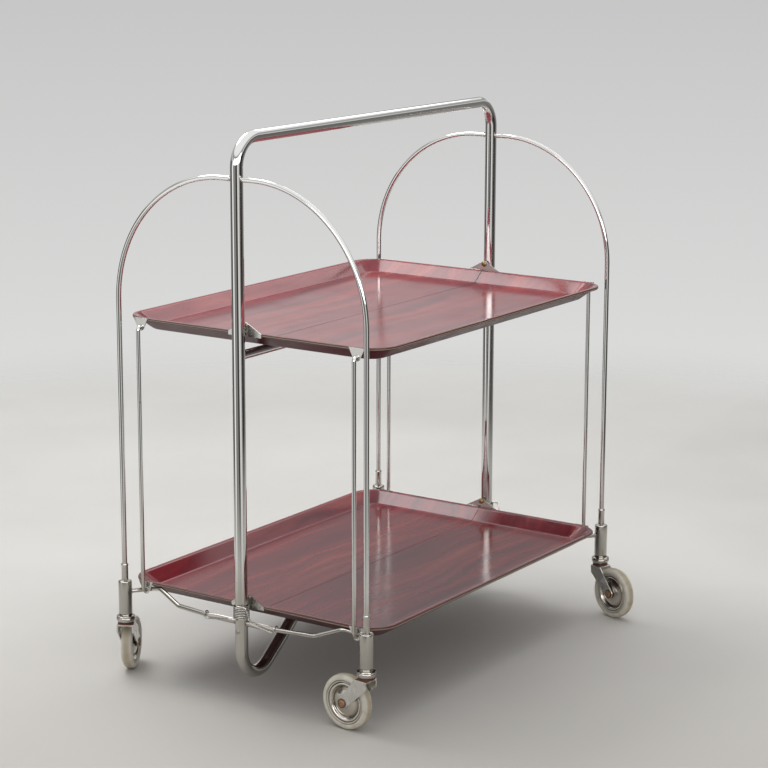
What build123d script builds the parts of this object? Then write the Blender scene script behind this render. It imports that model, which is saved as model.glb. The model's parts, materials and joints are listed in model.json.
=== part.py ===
from build123d import *
import math
import os

# Folding serving trolley of chromed tube and rod, with two split trays on four casters.
# Millimetres. X runs along the handle, -Y is the front, Z is up, the origin is on the floor.

# Frame loop: one endless tube
overall_height = 760.0
upright_gap = 6.5  # tray end to the upright's wall
tube_dia = 17.0
tube_wall = 1.5
handle_bend = 38.0
foot_bend = 34.0
foot_clearance = 28.0  # floor to the lowest point of the loop
foot_rise_angle = 37.0
low_bar_height = 100.0
low_bar_bend = 40.0

# Upper cross bar
cross_bar_dia = 12.5
cross_bar_drop = 29.0  # its axis below the upper tray's rim

# Trays
tray_length = 584.0
tray_width = 422.0
upper_rim = 500.0
lower_rim = 134.0
tray_depth = 20.0
sheet = 4.0
tray_corner = 40.0
floor_corner = 20.0
lip = 6.0
slope_run = 20.0
split_gap = 0.8

# Hinge at the split
pivot_rise = 9.0  # pin axis above the rim
pin_dia = 5.0
pin_head_dia = 8.0
pin_head = 2.0
plate = 1.2
plate_gap = 0.4
plate_reach = 26.0
plate_start = 6.0
plate_eye = 4.5

# Corner ears and link rods
ear_from_leg = 25.0
ear_half_width = 12.0
ear_drop = 12.0  # hole below the rim
ear_eye = 5.5
link_dia = 5.6
link_bend = 5.5
link_stand_off = 6.4  # rod axis outside the tray's end
link_tail = 1.5  # rod end past the ear

# Rivets
foot_width = 5.6
foot_length = 16.0
rivet_dia = 2.4
rivet_head_dia = 4.6
rivet_head = 1.1
rivet_grip = 2.5  # shank length in the lip
rivet_spacing = 9.0

# Gates: hoop, leg and arm
gate_reach = 200.0
rod_dia = 7.0
hoop_drop = 51.5  # hoop below the handle, axis to axis
hoop_run = 25.0
neck_dia = 4.0
shoulder_gap = 2.5
hook_place = 4.0  # hook axis from the upright axis
hook_drop = 8.0
hook_bend = 2.5
arm_dia = 6.0
arm_height = 112.0
arm_flat_end = 50.0
arm_flat_height = 8.0
arm_flat_thick = 4.5
arm_knee_from_leg = 87.0
arm_knee_inset = 8.0
arm_crest_from_leg = 48.0
arm_crest_inset = 17.5
arm_tuck_from_leg = 22.0
arm_tuck_inset = 30.0
arm_seat_drop = 15.0  # arm end below the lower rim
arm_bend = 12.0

# Sockets and casters
socket_dia = 18.6
socket_bottom = 86.0
socket_top = 135.0
socket_edge = 1.5
ferrule_dia = 9.2
ferrule_top = 159.0
leg_foot = 103.0
stem_dia = 9.0
stem_length = 11.5
cup_dia = 26.0
cup_waist_dia = 19.0
swivel_dia = 8.0
swivel_head_dia = 11.0
swivel_head = 1.7
fork_sheet = 2.0
fork_crown = 73.2  # top of the fork
fork_front = 11.0  # crown plate ahead of the swivel axis
fork_back = 8.0  # and behind it
fork_skirt = 11.0
fork_eye = 7.5
wheel_dia = 74.0
caster_trail = 31.0
tyre_width = 16.0
tyre_depth = 10.5
tyre_round = 5.0
hub_width = 17.0
hub_rim_width = 12.0
hub_bead = 4.0  # rolled edge of the disc
hub_groove = 6.4  # thickness where the dome meets the rim
hub_dome_dia = 40.0
hub_boss_dia = 13.0
axle_dia = 6.0
axle_head_dia = 10.0
axle_head = 2.2
cheek_gap = 1.0

# Springs round the uprights
wire_dia = 1.9
spring_turns = 8
spring_pitch = 2.35
spring_foot = 117.6
spring_hook_bend = 3.0
back_hook_place = 60.0
front_hook_place = 56.0

# Loop rivets
loop_rivet_height = 101.0
loop_rivet_dia = 3.0
loop_rivet_head_dia = 6.0
loop_rivet_head = 1.6

# Clearances
running = 0.1  # radial, on turning pins
press = 0.05  # radial, on fixed pins
loose = 0.5  # radial, on hooks in their holes
open_pivot = 0.4  # radial, at the lower end of the link rods
seat = 0.3  # between faces that rest on each other

# Derived places
loop_span = tray_length + 2 * upright_gap + tube_dia
half_span = loop_span / 2
tube_radius = tube_dia / 2
handle_height = overall_height - tube_radius
hoop_height = handle_height - hoop_drop
ear_place = gate_reach - ear_from_leg
tray_end = tray_length / 2
tray_side = tray_width / 2
wheel_radius = wheel_dia / 2
arm_turn = arm_flat_end + arm_flat_thick
arm_knee = gate_reach - arm_knee_from_leg
sides = {"left": -1, "right": 1}
faces = {"front": -1, "back": 1}
tiers = {"upper": upper_rim, "lower": lower_rim}

# Direction in which each caster trails, in degrees from +X
trail = {
    ("left", "front"): 86.0,
    ("left", "back"): 28.0,
    ("right", "front"): -108.0,
    ("right", "back"): 108.0,
}

os.makedirs("parts", exist_ok=True)


def save(part, name):
    """Label a finished piece and write its STEP file."""
    part.label = name
    export_step(part, f"parts/{name}.step")


def rod_along(points, bend, diameter):
    """Sweep a round rod along a run of points with bent corners."""
    with BuildPart() as rod:
        with BuildLine() as route:
            FilletPolyline(*points, radius=bend)
        with BuildSketch(Plane(origin=route.line @ 0, z_dir=route.line % 0)):
            Circle(diameter / 2)
        sweep()
    return rod.part


# Frame loop: half of the tube is swept and mirrored, then drilled
foot_turn = math.radians(90 + foot_rise_angle)
foot_corner = foot_clearance + tube_radius + foot_bend - foot_bend * math.tan(foot_turn / 2)
rise_end = half_span - (low_bar_height - foot_corner) / math.tan(math.radians(foot_rise_angle))
with BuildPart() as frame_loop:
    with BuildLine(Plane.XZ) as half_route:
        FilletPolyline(
            (0, handle_height),
            (half_span, handle_height),
            (half_span, foot_corner),
            (rise_end, low_bar_height),
            (0, low_bar_height),
            radius=[handle_bend, foot_bend, low_bar_bend],
        )
    with BuildSketch(Plane(origin=half_route.line @ 0, z_dir=half_route.line % 0)):
        Circle(tube_radius)
        Circle(tube_radius - tube_wall, mode=Mode.SUBTRACT)
    sweep()
    mirror(about=Plane.YZ)
    # Holes for the gates' hooks, front and back
    for side in sides.values():
        for height in (hoop_height, arm_height):
            with Locations(Location((side * half_span, 0, height), (90, 0, 0))):
                Cylinder(neck_dia / 2 + loose, 2 * tube_dia, mode=Mode.SUBTRACT)
        # Holes in the inner wall for the tray hinge pins
        for rim in tiers.values():
            with Locations(Location((side * (half_span - tube_radius), 0, rim + pivot_rise), (0, 90, 0))):
                Cylinder(pin_dia / 2 + press, tube_dia / 2, mode=Mode.SUBTRACT)
        # Holes in the outer wall for the loop rivets
        with Locations(Location((side * (half_span + tube_radius), 0, loop_rivet_height), (0, 90, 0))):
            Cylinder(loop_rivet_dia / 2 + press, tube_dia / 2, mode=Mode.SUBTRACT)
save(frame_loop.part, "frame_loop")

# Upper cross bar, its ends cut to sit against the uprights
with BuildPart() as upper_cross_bar:
    with Locations(Location((0, 0, upper_rim - cross_bar_drop), (0, 90, 0))):
        Cylinder(cross_bar_dia / 2, loop_span)
    with Locations((-half_span, 0, upper_rim - cross_bar_drop), (half_span, 0, upper_rim - cross_bar_drop)):
        Cylinder(tube_radius + press, 2 * cross_bar_dia, mode=Mode.SUBTRACT)
save(upper_cross_bar.part, "upper_cross_bar")

# Tray hinge pins: shank in the upright's wall, head towards the tray
pin_seat = tray_end - seat
with BuildPart() as tray_hinge_pins:
    for side in sides.values():
        for rim in tiers.values():
            outward = Plane(
                origin=(side * pin_seat, 0, rim + pivot_rise), x_dir=(0, 1, 0), z_dir=(side, 0, 0)
            )
            with BuildSketch(outward):
                Circle(pin_dia / 2)
            extrude(amount=half_span - tube_radius + 2 * tube_wall - pin_seat)
            with BuildSketch(outward):
                Circle(pin_head_dia / 2)
            extrude(amount=-pin_head)
save(tray_hinge_pins.part, "tray_hinge_pins")

# Loop rivets, low on the outside of the uprights
with BuildPart() as loop_rivets:
    for side in sides.values():
        outward = Plane(
            origin=(side * (half_span + tube_radius), 0, loop_rivet_height), x_dir=(0, 1, 0), z_dir=(side, 0, 0)
        )
        with BuildSketch(outward):
            Circle(loop_rivet_head_dia / 2)
        extrude(amount=loop_rivet_head, taper=30)
        with BuildSketch(outward):
            Circle(loop_rivet_dia / 2)
        extrude(amount=-2 * tube_wall)
save(loop_rivets.part, "loop_rivets")


def helix_point(turn, radius):
    """A point of the spring's helix and the direction of its wire there."""
    angle = math.pi + 2 * math.pi * turn
    point = Vector(
        radius * math.cos(angle) - half_span, radius * math.sin(angle), spring_foot + spring_pitch * turn
    )
    along = Vector(-2 * math.pi * radius * math.sin(angle), 2 * math.pi * radius * math.cos(angle), spring_pitch)
    return point, along.normalized()


def biarc(start, start_dir, end, end_dir):
    """Two arcs from start to end that meet without a corner."""
    span = end - start
    spread = 2 * (1 - start_dir.dot(end_dir))
    lean = span.dot(start_dir + end_dir)
    reach = (math.sqrt(lean * lean + spread * span.dot(span)) - lean) / spread
    leave = start + start_dir * reach
    arrive = end - end_dir * reach
    middle = (leave + arrive) * 0.5
    TangentArc(start, middle, tangent=start_dir)
    TangentArc(middle, end, tangent=arrive - leave)


def hook_points(place, stand_off):
    """The wire's way over an arm, from its outer side to its inner side, as a list of points."""
    facing = math.copysign(1, place)
    arm_line = (abs(place) - arm_turn) * arm_knee_inset / (arm_knee - arm_turn) - half_span
    over = arm_height + stand_off
    under = arm_height - arm_dia / 2
    return [
        Vector(arm_line - stand_off, place - facing * wire_dia * 4, under),
        Vector(arm_line - stand_off, place, under),
        Vector(arm_line - stand_off, place, over),
        Vector(arm_line + stand_off, place, over),
        Vector(arm_line + stand_off, place, under),
    ]


# Spring round the left upright: a close coil with a wire hooked over each arm
coil_radius = tube_radius + loose + wire_dia / 2
hook_stand_off = arm_dia / 2 + wire_dia / 2 + loose
straight = coil_radius * 1.4
foot_point, foot_dir = helix_point(0, coil_radius)
head_point, head_dir = helix_point(spring_turns, coil_radius)
back_way = hook_points(back_hook_place, hook_stand_off)
front_way = hook_points(-front_hook_place, hook_stand_off)
front_drop = Vector(
    (head_point.X + front_way[0].X) / 2,
    head_point.Y + head_dir.Y * straight * 1.6,
    (spring_foot + arm_height) / 2 + wire_dia,
)
with BuildPart() as spring_left:
    with BuildLine() as wire_route:
        FilletPolyline(*reversed(back_way), foot_point - foot_dir * straight, foot_point, radius=spring_hook_bend)
        for half_turn in range(2 * spring_turns):
            biarc(
                *helix_point(half_turn / 2, coil_radius),
                *helix_point((half_turn + 1) / 2, coil_radius),
            )
        FilletPolyline(
            head_point, head_point + head_dir * straight, front_drop, *front_way, radius=spring_hook_bend
        )
    with BuildSketch(Plane(origin=wire_route.line @ 0, z_dir=wire_route.line % 0)):
        Circle(wire_dia / 2)
    sweep()
save(spring_left.part, "spring_left")
with BuildPart() as spring_right:
    mirror(spring_left.part, about=Plane.YZ)
save(spring_right.part, "spring_right")

# The least gap between turns of the spring, measured on points along its wire
whole_wire = Wire(wire_route.line.edges())
steps = math.ceil(whole_wire.length / wire_dia)
samples = [whole_wire @ (n / steps) for n in range(steps + 1)]
least = min((a - b).length for i, a in enumerate(samples) for b in samples[i + 5:])
print(f"least gap between turns of the spring: {least - wire_dia:.2f} mm")


def tray_shell(rim, facing):
    """Half of a moulded tray: flat lip, sloped rim and floor, cut at the split."""
    lip_length, lip_width = tray_length - 2 * lip, tray_width - 2 * lip
    drop = tray_depth - sheet
    with BuildPart() as shell:
        with BuildSketch(Plane.XY.offset(rim - sheet)):
            RectangleRounded(tray_length, tray_width, tray_corner)
        extrude(amount=sheet)
        with BuildSketch(Plane.XY.offset(rim - sheet)):
            RectangleRounded(lip_length, lip_width, tray_corner - lip)
        with BuildSketch(Plane.XY.offset(rim - tray_depth)):
            RectangleRounded(lip_length - 2 * slope_run, lip_width - 2 * slope_run, floor_corner)
        loft(ruled=True)
        with BuildSketch(Plane.XY.offset(rim)):
            RectangleRounded(lip_length, lip_width, tray_corner - lip)
        with BuildSketch(Plane.XY.offset(rim - drop)):
            RectangleRounded(lip_length - 2 * slope_run, lip_width - 2 * slope_run, floor_corner)
        loft(ruled=True, mode=Mode.SUBTRACT)
        split(bisect_by=Plane.XZ.offset(-facing * split_gap / 2), keep=Keep.BOTTOM if facing > 0 else Keep.TOP)
        # Blind holes in the lip for the rivets
        with Locations(*[(x, y, rim - sheet) for x, y in rivet_places(facing)]):
            Cylinder(
                rivet_dia / 2 + press, rivet_grip + press, align=(Align.CENTER, Align.CENTER, Align.MIN),
                mode=Mode.SUBTRACT,
            )
    return shell.part


def rivet_places(facing):
    """Where the rivets go through the feet of the plates and ears of one half tray."""
    across = tray_end - lip + foot_width / 2
    plate_middle = (plate_start + plate_reach) / 2
    return [
        (side * across, facing * (middle + step * rivet_spacing / 2))
        for side in sides.values()
        for middle in (plate_middle, ear_place)
        for step in (-1, 1)
    ]


def end_plane(side, out):
    """The plane of a tray's end, looking outwards, with sketch x along -Y or +Y and sketch y up."""
    return Plane(origin=(side * (tray_end + out), 0, 0), x_dir=(0, side, 0), z_dir=(side, 0, 0))


def bracket_foot(side, facing, middle, rim, out):
    """The foot of a plate or ear, bent in under the tray's lip."""
    inner = tray_end - lip
    with Locations((side * (inner + tray_end + out) / 2, facing * middle, rim - sheet - plate / 2)):
        Box(tray_end + out - inner, foot_length, plate)


def drill_feet(rim, facing):
    """Rivet holes through the feet of the plates and ears."""
    with Locations(*[(x, y, rim - sheet - plate / 2) for x, y in rivet_places(facing)]):
        Cylinder(rivet_dia / 2 + press, 2 * plate, mode=Mode.SUBTRACT)


for tier, rim in tiers.items():
    for face, facing in faces.items():
        half = f"{tier}_{face}"
        save(tray_shell(rim, facing), f"{half}_panel")

        # Hinge plates: the front half's lie against the rim, the back half's step out over them
        out = 0.0 if facing < 0 else plate + plate_gap
        plate_foot = (plate_start + plate_reach) / 2
        with BuildPart() as hinge_plates:
            for side in sides.values():
                with BuildSketch(end_plane(side, out)):
                    with BuildLine():
                        Line((side * facing * plate_reach, rim - sheet - plate), (side * facing * plate_reach, rim))
                        Line((side * facing * plate_reach, rim - sheet - plate),
                             (side * facing * plate_start, rim - sheet - plate))
                        CenterArc((0, rim + pivot_rise), plate_eye, 0, 360)
                    make_hull()
                    with Locations((0, rim + pivot_rise)):
                        Circle(pin_dia / 2 + running, mode=Mode.SUBTRACT)
                extrude(amount=plate)
                bracket_foot(side, facing, plate_foot, rim, out + plate)
                if out:
                    step_low = rim - sheet - plate
                    with Locations((side * (tray_end + out / 2), facing * plate_foot, (rim + step_low) / 2)):
                        Box(out, foot_length, rim - step_low)
            drill_feet(rim, facing)
        save(hinge_plates.part, f"{half}_hinge_plates")

        # Corner ears: pressed triangles with a hole for the link rod
        slack = running if tier == "upper" else open_pivot
        with BuildPart() as corner_ears:
            for side in sides.values():
                with BuildSketch(end_plane(side, 0)):
                    with BuildLine():
                        Line((side * facing * (ear_place - ear_half_width), rim),
                             (side * facing * (ear_place + ear_half_width), rim))
                        CenterArc((side * facing * ear_place, rim - ear_drop), ear_eye, 0, 360)
                    make_hull()
                    with Locations((side * facing * ear_place, rim - ear_drop)):
                        Circle(link_dia / 2 + slack, mode=Mode.SUBTRACT)
                extrude(amount=plate)
                bracket_foot(side, facing, ear_place, rim, plate)
            drill_feet(rim, facing)
        save(corner_ears.part, f"{half}_corner_ears")

        # Rivets: head under the foot, shank up into the lip
        with BuildPart() as rivets:
            for x, y in rivet_places(facing):
                with BuildSketch(Plane.XY.offset(rim - sheet - plate)):
                    with Locations((x, y)):
                        Circle(rivet_dia / 2)
                extrude(amount=plate + rivet_grip)
                with BuildSketch(Plane.XY.offset(rim - sheet - plate)):
                    with Locations((x, y)):
                        Circle(rivet_head_dia / 2)
                extrude(amount=-rivet_head, taper=25)
        save(rivets.part, f"{half}_rivets")


def gate_pieces(name, side, facing):
    """One gate: the hoop and leg, the arm and the socket at the leg's foot."""

    def at(outward, inset, height):
        return Vector(side * (half_span - inset), facing * outward, height)

    def neck_and_hook(height):
        """The thin end of a rod, through the upright's wall and bent down inside it."""
        hook_points = [
            at(hook_place, 0, height - hook_drop),
            at(hook_place, 0, height),
            at(shoulder + neck_dia / 4, 0, height),
        ]
        return rod_along(hook_points, hook_bend, neck_dia)

    shoulder = tube_radius + shoulder_gap
    hoop_points = [
        at(shoulder, 0, hoop_height),
        at(gate_reach, 0, hoop_height),
        at(gate_reach, 0, leg_foot),
    ]
    with BuildPart() as hoop_leg:
        add(rod_along(hoop_points, gate_reach - hoop_run, rod_dia))
        add(neck_and_hook(hoop_height))
    save(hoop_leg.part, f"{name}_hoop_leg")

    # The arm rises to the lip of the lower tray, then ends in the side of the socket
    seat_height = lower_rim - arm_seat_drop
    tuck = at(gate_reach - arm_tuck_from_leg, arm_tuck_inset, seat_height)
    leg_axis = at(gate_reach, 0, seat_height)
    into_leg = (leg_axis - tuck).normalized()
    arm_end = leg_axis - into_leg * (rod_dia / 2 + wire_dia / 2)
    crest_height = lower_rim - sheet - arm_dia / 2 - loose
    arm_points = [
        at(arm_flat_end - arm_flat_thick, 0, arm_height),
        at(arm_turn, 0, arm_height),
        at(arm_knee, arm_knee_inset, arm_height),
        at(gate_reach - arm_crest_from_leg, arm_crest_inset, crest_height),
        tuck,
        arm_end,
    ]
    with BuildPart() as arm:
        add(rod_along(arm_points, arm_bend, arm_dia))
        with BuildSketch(Plane(origin=at(shoulder, 0, arm_height), x_dir=(1, 0, 0), z_dir=(0, facing, 0))):
            RectangleRounded(arm_flat_thick, arm_flat_height, arm_flat_thick * 0.45)
        extrude(amount=arm_flat_end - shoulder)
        add(neck_and_hook(arm_height))
    save(arm.part, f"{name}_arm")

    with BuildPart() as socket:
        with Locations(at(gate_reach, 0, socket_bottom)):
            Cylinder(socket_dia / 2, socket_top - socket_bottom, align=(Align.CENTER, Align.CENTER, Align.MIN))
        fillet(socket.faces().sort_by(Axis.Z)[-1].edges(), socket_edge)
        with Locations(at(gate_reach, 0, socket_top)):
            Cylinder(ferrule_dia / 2, ferrule_top - socket_top, align=(Align.CENTER, Align.CENTER, Align.MIN))
        with Locations(at(gate_reach, 0, leg_foot)):
            Cylinder(
                rod_dia / 2 + press, ferrule_top - leg_foot, align=(Align.CENTER, Align.CENTER, Align.MIN),
                mode=Mode.SUBTRACT,
            )
        with Locations(at(gate_reach, 0, socket_bottom)):
            Cylinder(
                stem_dia / 2 + press, stem_length + press, align=(Align.CENTER, Align.CENTER, Align.MIN),
                mode=Mode.SUBTRACT,
            )
        with BuildSketch(Plane(origin=arm_end + into_leg * press, z_dir=-into_leg)):
            Circle(arm_dia / 2 + press)
        extrude(amount=socket_dia, mode=Mode.SUBTRACT)
    save(socket.part, f"{name}_socket")


def caster_pieces(name, side, facing, degrees):
    """One caster: the stem on the leg, and the fork, axle and wheel that swivel under it."""
    foot = Vector(side * half_span, facing * gate_reach, 0)
    ahead = Vector(math.cos(math.radians(degrees)), math.sin(math.radians(degrees)), 0)
    across = Vector(-ahead.Y, ahead.X, 0)
    hub_centre = foot + ahead * caster_trail + Vector(0, 0, wheel_radius)
    upright_plane = Plane(origin=foot, x_dir=ahead, z_dir=-across)
    wheel_plane = Plane(origin=hub_centre, x_dir=across, z_dir=ahead)
    axle_axis = Axis(hub_centre, across)
    cheek = hub_width / 2 + cheek_gap
    plate_low = fork_crown - fork_sheet

    # Stem, bearing cup and riveted swivel pin, turned in one piece
    cup_low = fork_crown + seat
    cup_height = socket_bottom - cup_low
    with BuildPart() as swivel_stem:
        with BuildSketch(upright_plane):
            with BuildLine():
                Polyline(
                    (0, socket_bottom + stem_length),
                    (stem_dia / 2, socket_bottom + stem_length),
                    (stem_dia / 2, socket_bottom),
                    (cup_waist_dia / 2, socket_bottom),
                    (cup_dia / 2, socket_bottom - cup_height * 0.25),
                    (cup_dia / 2, socket_bottom - cup_height * 0.6),
                    (cup_waist_dia / 2, cup_low + cup_height * 0.2),
                    (cup_waist_dia / 2, cup_low),
                    (swivel_dia / 2, cup_low),
                    (swivel_dia / 2, plate_low - seat),
                    (swivel_head_dia / 2, plate_low - seat),
                    (swivel_head_dia / 2, plate_low - seat - swivel_head),
                    (0, plate_low - seat - swivel_head),
                    close=True,
                )
            make_face()
        revolve(axis=Axis(foot, (0, 0, 1)))
    save(swivel_stem.part, f"{name}_swivel_stem")

    # Fork: crown plate and two slanted cheeks bent from one sheet
    with BuildPart() as fork:
        for hand in (-1, 1):
            cheek_plane = Plane(origin=foot + across * (hand * cheek), x_dir=ahead, z_dir=-across)
            with BuildSketch(cheek_plane):
                with BuildLine():
                    Line((-fork_back, fork_crown), (fork_front, fork_crown))
                    Line((-fork_back, fork_crown), (-fork_back, fork_crown - fork_skirt))
                    CenterArc((caster_trail, wheel_radius), fork_eye, 0, 360)
                make_hull()
                with Locations((caster_trail, wheel_radius)):
                    Circle(axle_dia / 2 + press, mode=Mode.SUBTRACT)
            extrude(amount=-hand * fork_sheet)
        with BuildSketch(Plane(origin=foot + Vector(0, 0, plate_low), x_dir=ahead, z_dir=(0, 0, 1))):
            with Locations(((fork_front - fork_back) / 2, 0)):
                Rectangle(fork_front + fork_back, 2 * cheek)
            Circle(swivel_dia / 2 + running, mode=Mode.SUBTRACT)
        extrude(amount=fork_sheet)
    save(fork.part, f"{name}_fork")

    # Axle: a pin riveted over at both ends
    with BuildPart() as axle:
        with BuildSketch(Plane(origin=hub_centre, x_dir=ahead, z_dir=across)):
            Circle(axle_dia / 2)
        extrude(amount=cheek + fork_sheet, both=True)
        for hand in (-1, 1):
            with BuildSketch(
                Plane(origin=hub_centre + across * (hand * (cheek + fork_sheet)), x_dir=ahead, z_dir=across * hand)
            ):
                Circle(axle_head_dia / 2)
            extrude(amount=axle_head, taper=30)
    save(axle.part, f"{name}_axle")

    # Wheel: a pressed disc with a rolled rim and a boss, inside a ring of tyre
    hub_radius = wheel_radius - tyre_depth - press
    dome_radius = hub_dome_dia / 2
    dome_point = (hub_groove + 2 * hub_width) / 6, (dome_radius + hub_boss_dia) / 2
    with BuildPart() as hub:
        with BuildSketch(wheel_plane):
            with BuildLine():
                Line((0, axle_dia / 2 + running), (hub_width / 2, axle_dia / 2 + running))
                Line((hub_width / 2, axle_dia / 2 + running), (hub_width / 2, hub_boss_dia / 2))
                ThreePointArc((hub_width / 2, hub_boss_dia / 2), dome_point, (hub_groove / 2, dome_radius))
                Line((hub_groove / 2, dome_radius), (hub_rim_width / 2, hub_radius - hub_bead))
                Line((hub_rim_width / 2, hub_radius - hub_bead), (hub_rim_width / 2, hub_radius))
                Line((hub_rim_width / 2, hub_radius), (0, hub_radius))
                mirror(about=Plane.YZ)
            make_face()
        revolve(axis=axle_axis)
    save(hub.part, f"{name}_hub")
    with BuildPart() as tyre:
        with BuildSketch(wheel_plane):
            with Locations((0, wheel_radius - tyre_depth / 2)):
                RectangleRounded(tyre_width, tyre_depth, tyre_round)
        revolve(axis=axle_axis)
    save(tyre.part, f"{name}_tyre")


def link_rod(name, side, facing):
    """A link rod between the ears of the upper and the lower half tray, both ends bent in."""
    line = tray_end + link_stand_off
    tail = tray_end - link_tail
    points = [
        (side * tail, facing * ear_place, upper_rim - ear_drop),
        (side * line, facing * ear_place, upper_rim - ear_drop),
        (side * line, facing * ear_place, lower_rim - ear_drop),
        (side * tail, facing * ear_place, lower_rim - ear_drop),
    ]
    save(rod_along(points, link_bend, link_dia), f"{name}_link_rod")


for side_name, side in sides.items():
    for face, facing in faces.items():
        corner = f"{side_name}_{face}"
        gate_pieces(corner, side, facing)
        caster_pieces(corner, side, facing, trail[(side_name, face)])
        link_rod(corner, side, facing)
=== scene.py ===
import json
import math
from functools import partial

import bmesh
import bpy
from mathutils import Matrix, Vector


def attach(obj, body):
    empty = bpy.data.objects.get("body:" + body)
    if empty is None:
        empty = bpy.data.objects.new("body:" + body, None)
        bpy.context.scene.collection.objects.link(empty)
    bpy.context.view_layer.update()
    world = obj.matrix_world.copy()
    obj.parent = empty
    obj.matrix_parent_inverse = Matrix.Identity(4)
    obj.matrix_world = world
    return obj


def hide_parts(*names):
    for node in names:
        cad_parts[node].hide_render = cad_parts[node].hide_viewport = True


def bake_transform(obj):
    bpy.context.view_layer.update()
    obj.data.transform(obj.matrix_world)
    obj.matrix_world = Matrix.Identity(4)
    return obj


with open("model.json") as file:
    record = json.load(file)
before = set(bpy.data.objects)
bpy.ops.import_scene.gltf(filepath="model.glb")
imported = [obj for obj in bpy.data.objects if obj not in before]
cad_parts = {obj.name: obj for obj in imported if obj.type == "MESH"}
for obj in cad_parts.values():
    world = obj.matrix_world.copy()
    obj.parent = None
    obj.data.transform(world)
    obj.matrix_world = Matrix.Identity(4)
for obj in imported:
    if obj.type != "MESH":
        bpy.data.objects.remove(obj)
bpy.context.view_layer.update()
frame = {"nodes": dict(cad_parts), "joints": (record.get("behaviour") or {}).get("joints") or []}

# Frame loop. One endless steel tube, bent cold into the handle, the two uprights, the turns
# at the foot and the low bar under the trays. It is polished and chrome plated all over.
mm = 0.001
half_span = 307 * mm
tube_diameter = 17 * mm
handle_height = 751.5 * mm
handle_bend = 38 * mm
foot_bend = 34 * mm
foot_clearance = 28 * mm
foot_rise = math.radians(37)
low_bar_height = 100 * mm
low_bar_bend = 40 * mm


def srgb(code):
    """The linear colour that a shader takes, from a hex colour as the eye sees it."""
    seen = [int(code[n:n + 2], 16) / 255 for n in (1, 3, 5)]
    linear = [c / 12.92 if c <= 0.04045 else ((c + 0.055) / 1.055) ** 2.4 for c in seen]
    return (*linear, 1.0)


def add_node(tree, kind, inputs=None, stops=(), **settings):
    """Adds a node with its settings and colour stops, and sets or links its inputs."""
    node = tree.nodes.new(kind)
    for name, value in settings.items():
        setattr(node, name, value)
    for name, value in (inputs or {}).items():
        if isinstance(value, bpy.types.NodeSocket):
            tree.links.new(value, node.inputs[name])
        else:
            node.inputs[name].default_value = value
    for number, (place, code) in enumerate(stops):
        marks = node.color_ramp.elements
        mark = marks[number] if number < len(marks) else marks.new(place)
        mark.position = place
        mark.color = srgb(code)
    return node


def start_material(name):
    """A material with an empty tree, and the Object coordinates that its patterns follow."""
    material = bpy.data.materials.new(name)
    material.use_nodes = True
    tree = material.node_tree
    tree.nodes.clear()
    return material, tree, add_node(tree, "ShaderNodeTexCoord").outputs["Object"]


# Bright chrome plate on polished steel: a mirror, a little dulled in hand-sized patches, its colour
# darker and greyer towards the floor, with pin-head pits where the plating has let rust through.
pit_spacing = 11 * mm
smudge_size = 45 * mm
darkening_top = 210 * mm
darkening_foot = 130 * mm
chrome, tree, place = start_material("bright_chrome_plate")
smudge = add_node(tree, "ShaderNodeTexNoise", {
    "Vector": place, "Scale": 1 / smudge_size, "Detail": 4.0,
})
pits = add_node(tree, "ShaderNodeTexVoronoi", {"Vector": place, "Scale": 1 / pit_spacing})
pit = add_node(tree, "ShaderNodeMapRange", {
    "Value": pits.outputs["Distance"], "From Min": 0.1, "From Max": 0.04,
})
failed = add_node(tree, "ShaderNodeMapRange", {
    "Value": smudge.outputs["Fac"], "From Min": 0.52, "From Max": 0.66, "To Max": 0.8,
})
rust = add_node(tree, "ShaderNodeMath", {
    0: pit.outputs["Result"], 1: failed.outputs["Result"],
}, operation="MULTIPLY")
height = add_node(tree, "ShaderNodeSeparateXYZ", {"Vector": place}).outputs["Z"]
# The plate's colour is made darker and greyer below a given height, towards the floor.
toward_floor = add_node(tree, "ShaderNodeMapRange", {
    "Value": height, "From Min": darkening_top, "From Max": darkening_foot,
}, interpolation_type="SMOOTHSTEP")
darkened_low_plate = add_node(tree, "ShaderNodeMix", {
    "Factor": toward_floor.outputs["Result"], "A": srgb("#e6e6e4"), "B": srgb("#bab6af"),
}, data_type="RGBA")
plate_colour = add_node(tree, "ShaderNodeMix", {
    "Factor": rust.outputs[0], "A": darkened_low_plate.outputs["Result"], "B": srgb("#6d4a35"),
}, data_type="RGBA")
plate_roughness = add_node(tree, "ShaderNodeMapRange", {
    "Value": smudge.outputs["Fac"], "From Min": 0.35, "From Max": 0.7,
    "To Min": 0.03, "To Max": 0.09,
})
surface = add_node(tree, "ShaderNodeBsdfPrincipled", {
    "Base Color": plate_colour.outputs["Result"],
    "Metallic": 1.0,
    "Roughness": plate_roughness.outputs["Result"],
})
add_node(tree, "ShaderNodeOutputMaterial", {"Surface": surface.outputs["BSDF"]})


def start_tree(name, inputs, output):
    """A Geometry Nodes tree with its named inputs and its output, and the sockets of the inputs."""
    tree = bpy.data.node_groups.new(name, "GeometryNodeTree")
    for label, kind in inputs.items():
        tree.interface.new_socket(label, in_out="INPUT", socket_type=kind)
    tree.interface.new_socket(output, in_out="OUTPUT", socket_type="NodeSocketGeometry")
    return tree, add_node(tree, "NodeGroupInput").outputs


def end_tree(tree, made, finish, output):
    """Ends a tree: its instances made real, its finish set, and the result put out."""
    whole = add_node(tree, "GeometryNodeRealizeInstances", {"Geometry": made})
    finished = add_node(tree, "GeometryNodeSetMaterial", {
        "Geometry": whole.outputs["Geometry"], "Material": finish,
    })
    add_node(tree, "NodeGroupOutput", {output: finished.outputs["Geometry"]})


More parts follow.
